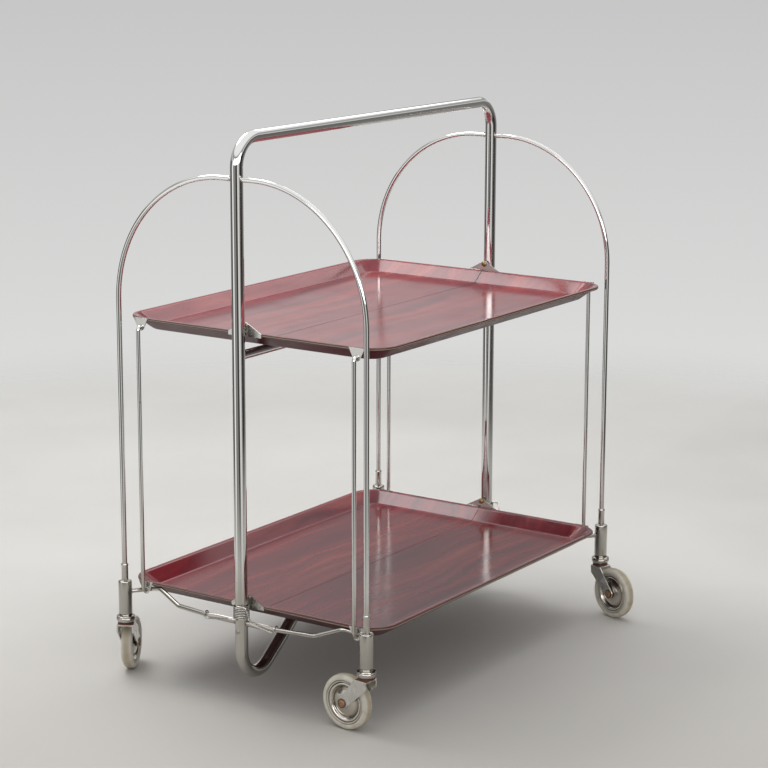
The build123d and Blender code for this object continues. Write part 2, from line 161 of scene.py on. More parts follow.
# The tree that bends every tube, rod and wire: a route of points, each corner rounded by its own
# bend, with a round section drawn along it.
rod_tree, rod_inputs = start_tree("bent_rod", {
    "Route": "NodeSocketGeometry",
    "Diameter": "NodeSocketFloat",
    "Bend Steps": "NodeSocketInt",
    "Sides": "NodeSocketInt",
    "Finish": "NodeSocketMaterial",
}, "Rod")
route = add_node(rod_tree, "GeometryNodeMeshToCurve", {"Mesh": rod_inputs["Route"]})
bend = add_node(rod_tree, "GeometryNodeInputNamedAttribute", {"Name": "bend"}, data_type="FLOAT")
rounded = add_node(rod_tree, "GeometryNodeFilletCurve", {
    "Curve": route.outputs["Curve"], "Count": rod_inputs["Bend Steps"],
    "Radius": bend.outputs["Attribute"],
}, mode="POLY")
half = add_node(rod_tree, "ShaderNodeMath", {
    0: rod_inputs["Diameter"], 1: 0.5,
}, operation="MULTIPLY")
section = add_node(rod_tree, "GeometryNodeCurvePrimitiveCircle", {
    "Resolution": rod_inputs["Sides"], "Radius": half.outputs[0],
})
drawn = add_node(rod_tree, "GeometryNodeCurveToMesh", {
    "Curve": rounded.outputs["Curve"], "Profile Curve": section.outputs["Curve"], "Fill Caps": True,
})
end_tree(rod_tree, drawn.outputs["Mesh"], rod_inputs["Finish"], "Rod")

corner_angle = math.radians(38)


def new_piece(name, mesh, crease=corner_angle):
    """Puts a finished mesh in the scene at the origin, smooth but for its sharp corners."""
    mesh.name = name
    mesh.shade_smooth()
    mesh.set_sharp_from_angle(angle=crease)
    piece = bpy.data.objects.new(name, mesh)
    bpy.context.scene.collection.objects.link(piece)
    return piece


def grow(name, tree, base, values):
    """Runs a Geometry Nodes tree on a base mesh and keeps the result as a plain piece."""
    start = bpy.data.objects.new(name + "_base", base)
    bpy.context.scene.collection.objects.link(start)
    modifier = start.modifiers.new(name, "NODES")
    modifier.node_group = tree
    for socket in tree.interface.items_tree:
        if socket.in_out == "INPUT" and socket.name in values:
            modifier[socket.identifier] = values[socket.name]
    seen = start.evaluated_get(bpy.context.evaluated_depsgraph_get())
    mesh = bpy.data.meshes.new_from_object(seen)
    start.modifiers.remove(modifier)
    bpy.data.objects.remove(start)
    return new_piece(name, mesh)


def rod(name, points, bends, diameter, finish, closed=False, sides=40, bend_steps=28):
    """A tube, rod or wire bent along a route of points, with the bend of each point."""
    base = bpy.data.meshes.new(name + "_route")
    runs = [(n, n + 1) for n in range(len(points) - 1)]
    if closed:
        runs.append((len(points) - 1, 0))
    base.from_pydata([tuple(p) for p in points], runs, [])
    base.attributes.new("bend", "FLOAT", "POINT").data.foreach_set("value", bends)
    return grow(name, rod_tree, base, {
        "Diameter": diameter, "Bend Steps": bend_steps, "Sides": sides, "Finish": finish,
    })


def fit(piece, body, slot, *replaced):
    """Sets a piece on its body and hides the solids that it stands for. The slot is not used."""
    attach(piece, body)
    if replaced:
        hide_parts(*replaced)


foot_turn = math.pi / 2 + foot_rise
foot_corner = foot_clearance + tube_diameter / 2 + foot_bend - foot_bend * math.tan(foot_turn / 2)
rise_end = half_span - (low_bar_height - foot_corner) / math.tan(foot_rise)
loop_corners = [
    (half_span, handle_height, handle_bend),
    (half_span, foot_corner, foot_bend),
    (rise_end, low_bar_height, low_bar_bend),
]
loop_way = loop_corners + [(-x, z, turn) for x, z, turn in reversed(loop_corners)]
loop = rod(
    "frame_tube", [(x, 0, z) for x, z, _ in loop_way], [turn for _, _, turn in loop_way],
    tube_diameter, chrome, closed=True, sides=56, bend_steps=40,
)
fit(loop, "frame", "chrome", "frame_loop")

# Upper cross bar. A thinner chromed tube brazed between the uprights just under the upper tray.
# Its ends are cut to the round of the uprights, so here they run a little way into them.
cross_bar_diameter = 12.5 * mm
cross_bar_height = 471 * mm
cross_bar_bite = 2.8 * mm
cross_bar_end = half_span - tube_diameter / 2 + cross_bar_bite
cross_bar = rod(
    "cross_bar", [(-cross_bar_end, 0, cross_bar_height), (cross_bar_end, 0, cross_bar_height)],
    [0, 0], cross_bar_diameter, chrome,
)
fit(cross_bar, "frame", "chrome", "upper_cross_bar")

# Tray hinge pins and loop rivets. Turned pins stand in the inner walls of the uprights and carry
# the trays; small rivets close the loop's joint low on the outer side. Both are set by hammer.
pin_rise = 9 * mm
pin_diameter = 5 * mm
pin_head_diameter = 8 * mm
pin_head = 2 * mm
pin_seat = 291.7 * mm
pin_end = 301 * mm
rims = {"upper": 500 * mm, "lower": 134 * mm}
sides = {"left": -1, "right": 1}
faces = {"front": -1, "back": 1}


def mottled(name, patch_size, detail, tints, sheen):
    """A material with a tint and a roughness that drift together in patches of a real size: the
    material, its tree, its coordinates, and the sockets of the patches, tint and roughness."""
    material, tree, place = start_material(name)
    patches = add_node(tree, "ShaderNodeTexNoise", {
        "Vector": place, "Scale": 1 / patch_size, "Detail": detail,
    }).outputs["Fac"]
    tint = add_node(tree, "ShaderNodeValToRGB", {"Fac": patches}, stops=tints)
    roughness = add_node(tree, "ShaderNodeMapRange", {
        "Value": patches, "From Min": tints[0][0], "From Max": tints[-1][0],
        "To Min": sheen[0], "To Max": sheen[1],
    })
    return material, tree, place, patches, tint.outputs["Color"], roughness.outputs["Result"]


# Brass, tarnished brown and dull in the hollows, still yellow and bright where it is rubbed.
brass, tree, _, _, rubbed, sheen = mottled(
    "tarnished_brass", 3 * mm, 5.0, ((0.3, "#6e5534"), (0.7, "#c3a873")), (0.42, 0.25)
)
surface = add_node(tree, "ShaderNodeBsdfPrincipled", {
    "Base Color": rubbed, "Metallic": 1.0, "Roughness": sheen,
})
add_node(tree, "ShaderNodeOutputMaterial", {"Surface": surface.outputs["BSDF"]})

# Plain steel of small rivets and heads, dulled in spots by handling.
rivet_steel, tree, _, _, handled, sheen = mottled(
    "plain_rivet_steel", 2 * mm, 5.0, ((0.3, "#7d766c"), (0.7, "#bdb8ae")), (0.44, 0.28)
)
surface = add_node(tree, "ShaderNodeBsdfPrincipled", {
    "Base Color": handled, "Metallic": 1.0, "Roughness": sheen,
})
add_node(tree, "ShaderNodeOutputMaterial", {"Surface": surface.outputs["BSDF"]})


def turned(profile, foot, axis, closed=False, steps=72, shape=None):
    """Spins a profile of (radius, place along the axis) about an axis, as on a lathe. The attribute
    reach keeps each point's distance from the axis."""
    shape = shape or bmesh.new()
    reach = shape.verts.layers.float.get("reach") or shape.verts.layers.float.new("reach")
    axis = Vector(axis).normalized()
    side = axis.orthogonal().normalized()
    across = axis.cross(side)
    rings = []
    for radius, along in profile:
        middle = Vector(foot) + axis * along
        count = steps if radius > 0 else 1
        turns = [2 * math.pi * n / steps for n in range(count)]
        rings.append([
            shape.verts.new(middle + (side * math.cos(t) + across * math.sin(t)) * radius)
            for t in turns
        ])
        for corner in rings[-1]:
            corner[reach] = radius
    pairs = list(zip(rings, rings[1:]))
    if closed:
        pairs.append((rings[-1], rings[0]))
    for low, high in pairs:
        for n in range(steps):
            m = (n + 1) % steps
            ring = [low[n % len(low)], low[m % len(low)], high[m % len(high)], high[n % len(high)]]
            shape.faces.new(list(dict.fromkeys(ring)))
    return shape


def to_mesh(name, shape, *finishes):
    """Turns the faces of a hand-built shape outwards and makes it a mesh with its finishes."""
    bmesh.ops.recalc_face_normals(shape, faces=shape.faces)
    mesh = bpy.data.meshes.new(name)
    shape.to_mesh(mesh)
    shape.free()
    for finish in finishes:
        mesh.materials.append(finish)
    return mesh


def turned_piece(name, profile, foot, axis, finish, **options):
    """A piece turned from one profile, in one finish."""
    return new_piece(name, to_mesh(name, turned(profile, foot, axis, **options), finish))


def dome(radius, height, steps=6):
    """The profile of a domed head, from its edge to its top."""
    turns = [math.pi / 2 * n / steps for n in range(steps)]
    return [(radius * math.cos(t), height * math.sin(t)) for t in turns] + [(0, height)]


shape = bmesh.new()
for side in sides.values():
    for rim in rims.values():
        shank = [
            (0, pin_end - pin_seat), (pin_diameter / 2, pin_end - pin_seat), (pin_diameter / 2, 0),
        ]
        head = [(r, -h) for r, h in dome(pin_head_diameter / 2, pin_head)]
        turned(shank + head, (side * pin_seat, 0, rim + pin_rise), (side, 0, 0), shape=shape)
pins = new_piece("tray_pins", to_mesh("tray_pins", shape, brass))
fit(pins, "frame", "brass", "tray_hinge_pins")

# The tree that sets rivets: a flattened ball on each point, half of it sunk in the plate.
rivet_tree, rivet_inputs = start_tree("set_rivets", {
    "Places": "NodeSocketGeometry",
    "Head Diameter": "NodeSocketFloat",
    "Head Shape": "NodeSocketVector",
    "Finish": "NodeSocketMaterial",
}, "Rivets")
half = add_node(rivet_tree, "ShaderNodeMath", {
    0: rivet_inputs["Head Diameter"], 1: 0.5,
}, operation="MULTIPLY")
ball = add_node(rivet_tree, "GeometryNodeMeshUVSphere", {
    "Segments": 24, "Rings": 12, "Radius": half.outputs[0],
})
pressed = add_node(rivet_tree, "GeometryNodeTransform", {
    "Geometry": ball.outputs["Mesh"], "Scale": rivet_inputs["Head Shape"],
})
points = add_node(rivet_tree, "GeometryNodeMeshToPoints", {"Mesh": rivet_inputs["Places"]})
placed = add_node(rivet_tree, "GeometryNodeInstanceOnPoints", {
    "Points": points.outputs["Points"], "Instance": pressed.outputs["Geometry"],
})
end_tree(rivet_tree, placed.outputs["Instances"], rivet_inputs["Finish"], "Rivets")


def rivets(name, places, diameter, head_shape, finish):
    """Rivet heads at a list of places."""
    base = bpy.data.meshes.new(name + "_places")
    base.from_pydata([tuple(p) for p in places], [], [])
    return grow(name, rivet_tree, base, {
        "Head Diameter": diameter, "Head Shape": head_shape, "Finish": finish,
    })


loop_rivet_height = 101 * mm
loop_rivet_diameter = 6 * mm
loop_rivet_shape = (0.5, 1, 1)
loop_rivet_places = [
    (side * (half_span + tube_diameter / 2), 0, loop_rivet_height) for side in sides.values()
]
loop_rivet_heads = rivets(
    "loop_rivet_heads", loop_rivet_places, loop_rivet_diameter, loop_rivet_shape, rivet_steel,
)
fit(loop_rivet_heads, "frame", "steel", "loop_rivets")

# Trays. Each half is pressed from sheets of wood-look laminate in a heated mould: a flat lip, a
# sloped rim, a flat floor and well-rounded corners, sawn through along the middle.
tray_length = 584 * mm
tray_width = 422 * mm
lip_corner = 34 * mm
floor_corner = 20 * mm
lip = 6 * mm
slope_run = 20 * mm
tray_drop = 16 * mm
sheet = 4 * mm
split_gap = 0.8 * mm
corner_steps = 20

# Rosewood-look laminate: printed long grain, dark red to red-orange, under a hard melamine gloss
# that mirrors the room at low angles. The sawn edge is brown, with a pale band along its middle
# that is a painted highlight. The pores are drawn about three times as wide as real ones, so that
# they show.
band_length = 420 * mm
band_width = 26 * mm
streak_length = 0.8 * band_length
streak_width = 8 * mm
pore_length = 30 * mm
pore_width = 0.9 * mm
waver_length = band_length / 2.2
waver_width = 90 * mm
waver_reach = 55 * mm
wear_size = 70 * mm
laminate, tree, place = start_material("rosewood_look_laminate")
drawn_out = add_node(tree, "ShaderNodeMapping", {
    "Vector": place, "Scale": (1 / waver_length, 1 / waver_width, 1 / waver_width),
})
waver = add_node(tree, "ShaderNodeTexNoise", {
    "Vector": drawn_out.outputs["Vector"], "Scale": 1.0, "Detail": 2.0,
})
sway = add_node(tree, "ShaderNodeVectorMath", {
    0: waver.outputs["Color"], 1: (0.0, waver_reach, 0.0),
}, operation="MULTIPLY")
swayed = add_node(tree, "ShaderNodeVectorMath", {
    0: place, 1: sway.outputs["Vector"],
}, operation="ADD").outputs["Vector"]


def grain(width, length):
    """A noise drawn out along the tray, as wide and as long as the given grain."""
    stretched = add_node(tree, "ShaderNodeMapping", {
        "Vector": swayed, "Scale": (1 / length, 1 / width, 0.35 / width),
    })
    noise = add_node(tree, "ShaderNodeTexNoise", {
        "Vector": stretched.outputs["Vector"], "Scale": 1.0, "Detail": 2.0, "Roughness": 0.55,
    })
    return noise.outputs["Fac"]


bands = grain(band_width, band_length)
streaks = grain(streak_width, streak_length)
pores = grain(pore_width, pore_length)
figure = add_node(tree, "ShaderNodeMix", {
    "Factor": 0.13, "A": bands, "B": streaks,
}, data_type="FLOAT")
wood = add_node(tree, "ShaderNodeValToRGB", {"Fac": figure.outputs["Result"]}, stops=(
    (0.34, "#621e2a"), (0.44, "#75262f"), (0.53, "#822b34"), (0.62, "#8f3537"), (0.7, "#9c423f"),
))
pore = add_node(tree, "ShaderNodeMapRange", {
    "Value": pores, "From Min": 0.3, "From Max": 0.42, "To Min": 0.72, "To Max": 1.0,
})
printed = add_node(tree, "ShaderNodeMix", {
    "Factor": 1.0, "A": wood.outputs["Color"], "B": pore.outputs["Result"],
}, data_type="RGBA", blend_type="MULTIPLY")
sawn = add_node(tree, "ShaderNodeAttribute", attribute_name="sawn").outputs["Fac"]
edged = add_node(tree, "ShaderNodeMix", {
    "Factor": sawn, "A": printed.outputs["Result"], "B": srgb("#4a2a20"),
}, data_type="RGBA")
# The pale band along the middle of the sawn edge is a painted highlight.
edge_highlight = add_node(tree, "ShaderNodeAttribute", attribute_name="edge_highlight").outputs["Fac"]
edge_highlighted = add_node(tree, "ShaderNodeMix", {
    "Factor": edge_highlight, "A": edged.outputs["Result"], "B": srgb("#a08a79"),
}, data_type="RGBA")
wear = add_node(tree, "ShaderNodeTexNoise", {
    "Vector": place, "Scale": 1 / wear_size, "Detail": 5.0,
})
pressed_grain = add_node(tree, "ShaderNodeBump", {
    "Height": pores, "Strength": 0.12, "Distance": 0.1 * mm,
})
gloss = add_node(tree, "ShaderNodeMapRange", {
    "Value": wear.outputs["Fac"], "From Min": 0.3, "From Max": 0.7, "To Min": 0.1, "To Max": 0.19,
})
surface = add_node(tree, "ShaderNodeBsdfPrincipled", {
    "Base Color": edge_highlighted.outputs["Result"],
    "Roughness": gloss.outputs["Result"],
    "IOR": 1.5,
    "Normal": pressed_grain.outputs["Normal"],
})
add_node(tree, "ShaderNodeOutputMaterial", {"Surface": surface.outputs["BSDF"]})

# The back of the laminate: dyed paper and resin, dark red, half glossy, a little rough to the
# touch from the fibres of the paper.
fibre_size = 2.5 * mm
backing, tree, place, _, dark, sheen = mottled(
    "laminate_backing", 40 * mm, 6.0, ((0.3, "#45191f"), (0.7, "#54252a")), (0.34, 0.46)
)
fibres = add_node(tree, "ShaderNodeTexNoise", {
    "Vector": place, "Scale": 1 / fibre_size, "Detail": 4.0,
})
rough = add_node(tree, "ShaderNodeBump", {
    "Height": fibres.outputs["Fac"], "Strength": 0.3, "Distance": 0.2 * mm,
})
surface = add_node(tree, "ShaderNodeBsdfPrincipled", {
    "Base Color": dark, "Roughness": sheen, "Normal": rough.outputs["Normal"],
})
add_node(tree, "ShaderNodeOutputMaterial", {"Surface": surface.outputs["BSDF"]})


def arc_points(centre, radius, start, end, steps):
    """Points of an arc in the section of a tray, by angle in degrees."""
    turns = [math.radians(start + (end - start) * n / steps) for n in range(steps + 1)]
    return [(centre[0] + radius * math.cos(t), centre[1] + radius * math.sin(t)) for t in turns]


# Section of the tray as (inset from the edge, height from the rim): up over the edge, down the
# slope to the floor, and the same way back underneath, each bend rounded as the mould leaves it.
edge_round = 1.2 * mm
sawn_reach = 0.7 * edge_round
lip_round = 7 * mm
floor_round = 11 * mm
slope_angle = math.degrees(math.atan2(tray_drop, slope_run))
tangent = math.tan(math.radians(slope_angle / 2))


def face_section(top_round, low_round, level):
    """One face of the tray, from its lip to its floor, at a level below the rim."""
    lip_bend = arc_points(
        (lip - top_round * tangent, level - top_round), top_round, 90, 90 - slope_angle, 6
    )
    floor_bend = arc_points(
        (lip + slope_run + low_round * tangent, level - tray_drop + low_round),
        low_round, 270 - slope_angle, 270, 6,
    )
    return lip_bend + floor_bend


edge_top = arc_points((edge_round, -edge_round), edge_round, 180, 90, 4)
edge_low = arc_points((edge_round, edge_round - sheet), edge_round, 180, 270, 4)
upper_face = edge_top + face_section(lip_round, floor_round - sheet, 0)
lower_face = edge_low + face_section(lip_round - sheet, floor_round, -sheet)
# The pale band of painted highlight on the sawn edge runs between these heights.
highlight_top = -1.6 * mm
highlight_low = -2.7 * mm
edge_band = [(0.0, height) for height in (-1.5 * mm, highlight_top, highlight_low)]


def tray_ring(shape, inset, height):
    """One closed ring of points round a tray, at an inset from its edge."""
    share = min(1, max(0, (inset - lip) / slope_run))
    turn = lip_corner + (floor_corner - lip_corner) * share
    if inset < lip:
        turn = lip_corner + lip - inset
    turn = max(turn, floor_corner - max(0, inset - lip - slope_run))
    across = Vector((tray_length / 2 - inset - turn, tray_width / 2 - inset - turn))
    ring = []
    for corner, (sx, sy) in enumerate(((1, 1), (-1, 1), (-1, -1), (1, -1))):
        for n in range(corner_steps + 1):
            angle = math.pi / 2 * (corner + n / corner_steps)
            point = (
                sx * across.x + turn * math.cos(angle), sy * across.y + turn * math.sin(angle),
                height,
            )
            ring.append(shape.verts.new(point))
    return ring


def half_tray(name, rim, facing):
    """Half a tray: rings skinned from floor to floor over the edge, sawn along the middle."""
    shape = bmesh.new()
    sawn = shape.verts.layers.float.new("sawn")
    edge_highlight = shape.verts.layers.float.new("edge_highlight")
    section = list(reversed(upper_face)) + edge_band + lower_face
    rings = [tray_ring(shape, inset, rim + height) for inset, height in section]
    for ring, (inset, height) in zip(rings, section):
        for corner in ring:
            corner[sawn] = 1.0 if inset < sawn_reach else 0.0
            corner[edge_highlight] = 1.0 if inset == 0.0 and height in (highlight_top, highlight_low) else 0.0
    under = len(section) - len(lower_face) + len(edge_low) - 1
    for row, (low, high) in enumerate(zip(rings, rings[1:])):
        for n in range(len(low)):
            m = (n + 1) % len(low)
            shape.faces.new((low[n], low[m], high[m], high[n])).material_index = int(row >= under)
    shape.faces.new(rings[0])
    shape.faces.new(rings[-1]).material_index = 1
    bmesh.ops.recalc_face_normals(shape, faces=shape.faces)
    cut = bmesh.ops.bisect_plane(
        shape, geom=shape.verts[:] + shape.edges[:] + shape.faces[:],
        plane_co=(0, facing * split_gap / 2, 0), plane_no=(0, -facing, 0), clear_outer=True,
    )
    border = [item for item in cut["geom_cut"] if isinstance(item, bmesh.types.BMEdge)]
    bmesh.ops.contextual_create(shape, geom=border)
    return new_piece(name, to_mesh(name, shape, laminate, backing))


for tier, rim in rims.items():
    for face, facing in faces.items():
        board = half_tray(f"{tier}_{face}_board", rim, facing)
        fit(board, f"{tier}_{face}_half", "laminate", f"{tier}_{face}_panel")

# Hinge plates and corner ears. Pressed from thin plated sheet and riveted under the lip: the
# plates reach up to the hinge pins at the split, the ears hang down to take the link rods.
plated_bevel = 0.3 * mm
weld_within = 0.001 * mm
flat_within = math.radians(1)
pressed_corner = math.radians(50)
pressed_crease = math.radians(20)
stain_size = 12 * mm

# Dull zinc-bright plating on pressed sheet, with smudges and faint brown staining.
plated, tree, place = start_material("dull_plated_sheet")
stain = add_node(tree, "ShaderNodeTexNoise", {
    "Vector": place, "Scale": 1 / stain_size, "Detail": 6.0,
})
sheet_roughness = add_node(tree, "ShaderNodeMapRange", {
    "Value": stain.outputs["Fac"], "From Min": 0.3, "From Max": 0.7, "To Min": 0.17, "To Max": 0.32,
})
zinc = add_node(tree, "ShaderNodeValToRGB", {"Fac": stain.outputs["Fac"]}, stops=(
    (0.24, "#aaa094"), (0.4, "#cac8c3"), (0.7, "#d9d8d5"),
))
surface = add_node(tree, "ShaderNodeBsdfPrincipled", {
    "Base Color": zinc.outputs["Color"],
    "Metallic": 1.0,
    "Roughness": sheet_roughness.outputs["Result"],
})
add_node(tree, "ShaderNodeOutputMaterial", {"Surface": surface.outputs["BSDF"]})


def eased(name, node, finish, width):
    """A copy of a pressed solid with its sharp edges eased."""
    mesh = frame["nodes"][node].data.copy()
    mesh.materials.clear()
    shape = bmesh.new()
    shape.from_mesh(mesh)
    bmesh.ops.remove_doubles(shape, verts=shape.verts, dist=weld_within)
    bmesh.ops.dissolve_limit(shape, angle_limit=flat_within, verts=shape.verts, edges=shape.edges)
    start = bpy.data.objects.new(name + "_base", to_mesh(name, shape, finish))
    bpy.context.scene.collection.objects.link(start)
    bevel = start.modifiers.new("eased", "BEVEL")
    bevel.width = width
    bevel.segments = 1
    bevel.limit_method = "ANGLE"
    bevel.angle_limit = pressed_corner
    seen = start.evaluated_get(bpy.context.evaluated_depsgraph_get())
    result = bpy.data.meshes.new_from_object(seen)
    bpy.data.objects.remove(start)
    return new_piece(name, result, crease=pressed_crease)


rivet_head_diameter = 4.6 * mm
rivet_head_shape = (1, 1, 0.45)
foot_low = 5.2 * mm
foot_middle = 288.8 * mm
foot_rivets = (11.5 * mm, 20.5 * mm, 170.5 * mm, 179.5 * mm)
for tier, rim in rims.items():
    for face, facing in faces.items():
        half_name = f"{tier}_{face}"
        for kind in ("hinge_plates", "corner_ears"):
            metal = eased(
                f"{half_name}_{kind}_pressed", f"{half_name}_{kind}", plated, plated_bevel,
            )
            fit(metal, f"{half_name}_half", "plated_sheet", f"{half_name}_{kind}")
        places = [
            (side * foot_middle, facing * along, rim - foot_low)
            for side in sides.values() for along in foot_rivets
        ]
        heads = rivets(
            f"{half_name}_rivet_heads", places, rivet_head_diameter, rivet_head_shape, rivet_steel,
        )
        fit(heads, f"{half_name}_half", "steel", f"{half_name}_rivets")

# Link rods. Thin chromed rods with both ends bent in through the ears, so that the lower half of
# a tray folds up with the upper one.
link_diameter = 5.6 * mm
link_bend = 5.5 * mm
link_line = 298.4 * mm
link_tail = 290.5 * mm
ear_place = 175 * mm
ear_drop = 12 * mm
for side_name, side in sides.items():
    for face, facing in faces.items():
        high, low = rims["upper"] - ear_drop, rims["lower"] - ear_drop
        way = [
            (side * link_tail, facing * ear_place, high),
            (side * link_line, facing * ear_place, high),
            (side * link_line, facing * ear_place, low),
            (side * link_tail, facing * ear_place, low),
        ]
        bends = [0, link_bend, link_bend, 0]
        link = rod(f"{side_name}_{face}_link", way, bends, link_diameter, chrome)
        fit(link, f"{side_name}_{face}_link", "chrome", f"{side_name}_{face}_link_rod")

# Gates. Each is a chromed rod bent into a quarter arch and a leg, with a cranked arm below. Their
# thin ends hook into the uprights; the leg and the arm meet in a turned socket.
gate_reach = 200 * mm
rod_diameter = 7 * mm
hoop_height = 700 * mm
hoop_bend = 175 * mm
shoulder = 11 * mm
leg_foot = 103 * mm
neck_diameter = 4 * mm
hook_place = 4 * mm
hook_drop = 8 * mm
hook_bend = 2.5 * mm
neck_lap = 1 * mm
arm_diameter = 6 * mm
arm_height = 112 * mm
arm_flat_end = 50 * mm
arm_turn = 54.5 * mm
arm_flat_height = 8 * mm
arm_flat_thick = 4.5 * mm
arm_flat_rings = (30 * mm, 42 * mm, 46 * mm)
arm_bend = 12 * mm
arm_knee = 113 * mm
arm_knee_inset = 8 * mm
arm_crest = 152 * mm
arm_crest_inset = 17.5 * mm
arm_crest_height = 126.5 * mm
arm_tuck = 22 * mm
arm_tuck_inset = 30 * mm
arm_seat = 119 * mm


def gate_point(side, facing, outward, inset, height):
    """A point of a gate, by its distance out from the upright and in from the gate's plane."""
    return Vector((side * (half_span - inset), facing * outward, height))


def flatten(arm, side):
    """Squeezes the end of an arm beside the upright, as the press that pierced it did."""
    for corner in arm.data.vertices:
        share = (arm_flat_end + arm_diameter - abs(corner.co.y)) / (2 * arm_diameter)
        blend = min(1, max(0, share))
        blend = blend * blend * (3 - 2 * blend)
        thin = 1 + (arm_flat_thick / arm_diameter - 1) * blend
        tall = 1 + (arm_flat_height / arm_diameter - 1) * blend
        if abs(corner.co.y) < arm_flat_end + arm_diameter:
            corner.co.x = side * half_span + (corner.co.x - side * half_span) * thin
            corner.co.z = arm_height + (corner.co.z - arm_height) * tall


# Turned steel sockets, chromed with the rods: a sleeve with a narrow ferrule on its top, and the
# bearing cup and fibre washer under it, as (radius, height) in millimetres.
socket_profile = [
    (0, 86.2), (8.9, 86.2), (9.3, 86.8), (9.3, 132.8), (9.15, 134), (8.7, 134.8), (8.0, 135.1),
    (5.2, 135.2), (4.7, 135.5), (4.6, 136.2), (4.6, 155.6), (4.95, 156.2), (5.0, 157.2),
    (4.9, 158.3), (4.4, 158.9), (3.55, 159), (0, 159),
]
cup_profile = [
    (3.0, 86.1), (9.2, 86.1), (10.8, 85.9), (12.4, 85.2), (12.7, 84.6), (12.2, 84.0), (12.2, 83.4),
    (12.8, 82.8), (13.0, 81.6), (12.9, 80), (12.3, 78.4), (11.2, 77.0), (9.6, 76), (9.5, 75.4),
    (4, 75.4),
]
washer_profile = [(4, 75.5), (10.6, 75.5), (11.1, 75.2), (11.1, 74.0), (10.6, 73.6), (4, 73.6)]

# Red-brown vulcanised fibre, felted and oily: the washer that the fork turns against.
fibre, tree, _, greased, oily, sheen = mottled(
    "vulcanised_fibre", 4 * mm, 4.0, ((0.3, "#4f241b"), (0.7, "#8c4632")), (0.42, 0.66)
)
felted = add_node(tree, "ShaderNodeBump", {
    "Height": greased, "Strength": 0.3, "Distance": 0.2 * mm,
})
surface = add_node(tree, "ShaderNodeBsdfPrincipled", {
    "Base Color": oily, "Roughness": sheen, "Normal": felted.outputs["Normal"],
})
add_node(tree, "ShaderNodeOutputMaterial", {"Surface": surface.outputs["BSDF"]})


def scaled(profile):
    """A profile in millimetres as one in metres."""
    return [(radius * mm, along * mm) for radius, along in profile]


for side_name, side in sides.items():
    for face, facing in faces.items():
        gate = f"{side_name}_{face}"
        at = partial(gate_point, side, facing)
        hoop_way = [
            at(shoulder, 0, hoop_height), at(gate_reach, 0, hoop_height),
            at(gate_reach, 0, leg_foot),
        ]
        hoop = rod(
            f"{gate}_hoop", hoop_way, [0, hoop_bend, 0], rod_diameter, chrome, bend_steps=64
        )
        fit(hoop, f"{gate}_gate", "chrome", f"{gate}_hoop_leg")
        tuck = at(gate_reach - arm_tuck, arm_tuck_inset, arm_seat)
        leg_axis = at(gate_reach, 0, arm_seat)
        arm_way = [
            at(shoulder, 0, arm_height), *[at(ring, 0, arm_height) for ring in arm_flat_rings],
            at(arm_turn, 0, arm_height), at(arm_knee, arm_knee_inset, arm_height),
            at(arm_crest, arm_crest_inset, arm_crest_height), tuck,
            leg_axis - (leg_axis - tuck).normalized() * rod_diameter / 2,
        ]
        arm_bends = [0, 0, 0, 0, arm_bend, arm_bend, arm_bend, arm_bend, 0]
        arm = rod(f"{gate}_arm_rod", arm_way, arm_bends, arm_diameter, chrome)
        flatten(arm, side)
        fit(arm, f"{gate}_gate", "chrome", f"{gate}_arm")
        for end, height in (("top", hoop_height), ("low", arm_height)):
            neck_way = [
                at(hook_place, 0, height - hook_drop), at(hook_place, 0, height),
                at(shoulder + neck_lap, 0, height),
            ]
            neck = rod(
                f"{gate}_{end}_neck", neck_way, [0, hook_bend, 0], neck_diameter, chrome, sides=24
            )
            fit(neck, f"{gate}_gate", "chrome")
        foot, upwards = at(gate_reach, 0, 0), (0, 0, 1)
        sleeve = turned_piece(f"{gate}_sleeve", scaled(socket_profile), foot, upwards, chrome)
        fit(sleeve, f"{gate}_gate", "chrome", f"{gate}_socket")
        cup = turned_piece(f"{gate}_cup", scaled(cup_profile), foot, upwards, chrome, closed=True)
        fit(cup, f"{gate}_gate", "chrome", f"{gate}_swivel_stem")
        washer = turned_piece(
            f"{gate}_washer", scaled(washer_profile), foot, upwards, fibre, closed=True
        )
        fit(washer, f"{gate}_gate", "steel")

# Springs. Close coils of plated wire round the foot of each upright, with a long end hooked over
# each arm, so that the two gates of a side are drawn to their places.
wire_diameter = 1.9 * mm
coil_radius = 9.95 * mm
coil_turns = 8
coil_pitch = 2.35 * mm
coil_foot = 117.6 * mm
hook_stand_off = 4.45 * mm
back_hook = 60 * mm
front_hook = 56 * mm
hook_lead = 4 * wire_diameter
wire_bend = 3 * mm
wire_sides = 16
turn_steps = 48

# Plated spring wire, drawn and a little grey. The grooves between the turns and the inner side of
# the coil are darkened with grime and painted shade.
spring_wire, tree, place, _, grey, sheen = mottled(
    "plated_spring_wire", 5 * mm, 5.0, ((0.3, "#a8a39a"), (0.7, "#d3d1cc")), (0.26, 0.15)
)
either_side = add_node(tree, "ShaderNodeVectorMath", {0: place}, operation="ABSOLUTE")
from_upright = add_node(tree, "ShaderNodeVectorMath", {
    0: either_side.outputs["Vector"], 1: (half_span, 0.0, 0.0),
}, operation="SUBTRACT")
level = add_node(tree, "ShaderNodeVectorMath", {
    0: from_upright.outputs["Vector"], 1: (1.0, 1.0, 0.0),
}, operation="MULTIPLY")
from_axis = add_node(tree, "ShaderNodeVectorMath", {0: level.outputs["Vector"]}, operation="LENGTH")
